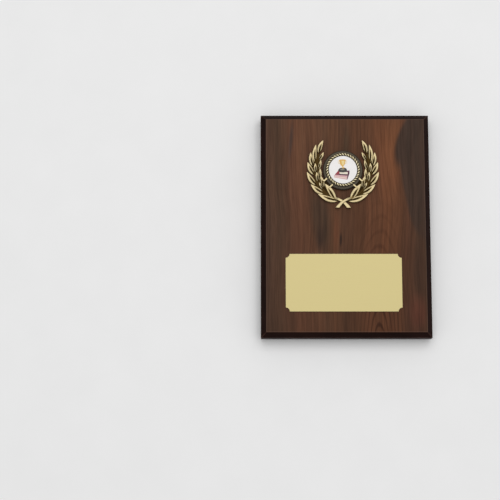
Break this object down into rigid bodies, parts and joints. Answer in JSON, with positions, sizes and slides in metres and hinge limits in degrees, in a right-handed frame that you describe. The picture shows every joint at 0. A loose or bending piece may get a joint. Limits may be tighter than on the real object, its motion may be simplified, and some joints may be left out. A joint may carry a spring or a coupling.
{
  "type": "award plaque",
  "caption": "Upright bevelled wooden award plaque with a cast laurel wreath round a small disc, a blank scooped-corner engraving plate, and a keyhole hanger and folding easel strut on its back",
  "frame": {"origin": "centre of the object's box in X and Y, on the surface that the four rubber feet rest on", "axes": "+X to the right as the plaque is read, +Y towards the top edge where the wreath is, +Z out of the face"},
  "size_m": [0.1524, 0.2032, 0.0253],
  "materials": {
    "lacquered_fibreboard": "medium-density fibreboard with a dark satin lacquer on its edges and bevels",
    "face_woodgrain": "satin sheet with a red-brown straight-grain wood figure",
    "back_paper": "matte dark brown woodgrain backing sheet",
    "satin_gold_sheet": "pale gold anodised sheet with a fine satin brushing",
    "adhesive": "white double-sided adhesive foam and film",
    "antique_gold_casting": "die-cast zinc plated in antique gold, dark in the recesses and buffed on the high spots",
    "bright_gold_plating": "bright pale gold plated rope ring",
    "disc_plastic": "glossy white printed disc",
    "zinc_plated_steel": "stamped sheet steel with bright zinc plating",
    "screw_steel": "zinc-plated wire-drawn steel",
    "foot_rubber": "matte black moulded rubber",
    "tip_vinyl": "dip-moulded black vinyl"
  },
  "bodies": {
    "plaque": {"board_core": "lacquered_fibreboard", "face_laminate": "face_woodgrain", "back_laminate": "back_paper", "engraving_plate": "satin_gold_sheet", "plate_tape": "adhesive", "laurel_wreath": "antique_gold_casting", "wreath_pads": "adhesive", "rope_bezel": "bright_gold_plating", "centre_disc": "disc_plastic", "disc_tape": "adhesive", "hanger_plate": "zinc_plated_steel", "hanger_screws": "screw_steel", "bumper_feet": "foot_rubber", "strut_plate": "zinc_plated_steel", "strut_screws": "screw_steel", "strut_pin": "screw_steel"},
    "strut": {"strut_leg": "zinc_plated_steel", "strut_foot": "tip_vinyl"}
  },
  "joints": [
    {"name": "strut_hinge", "type": "hinge", "parent": "plaque", "child": "strut", "pos_m": [0, 0.0104, 0.00195], "axis": [1, 0, 0], "range_deg": [0, 30]}
  ]
}
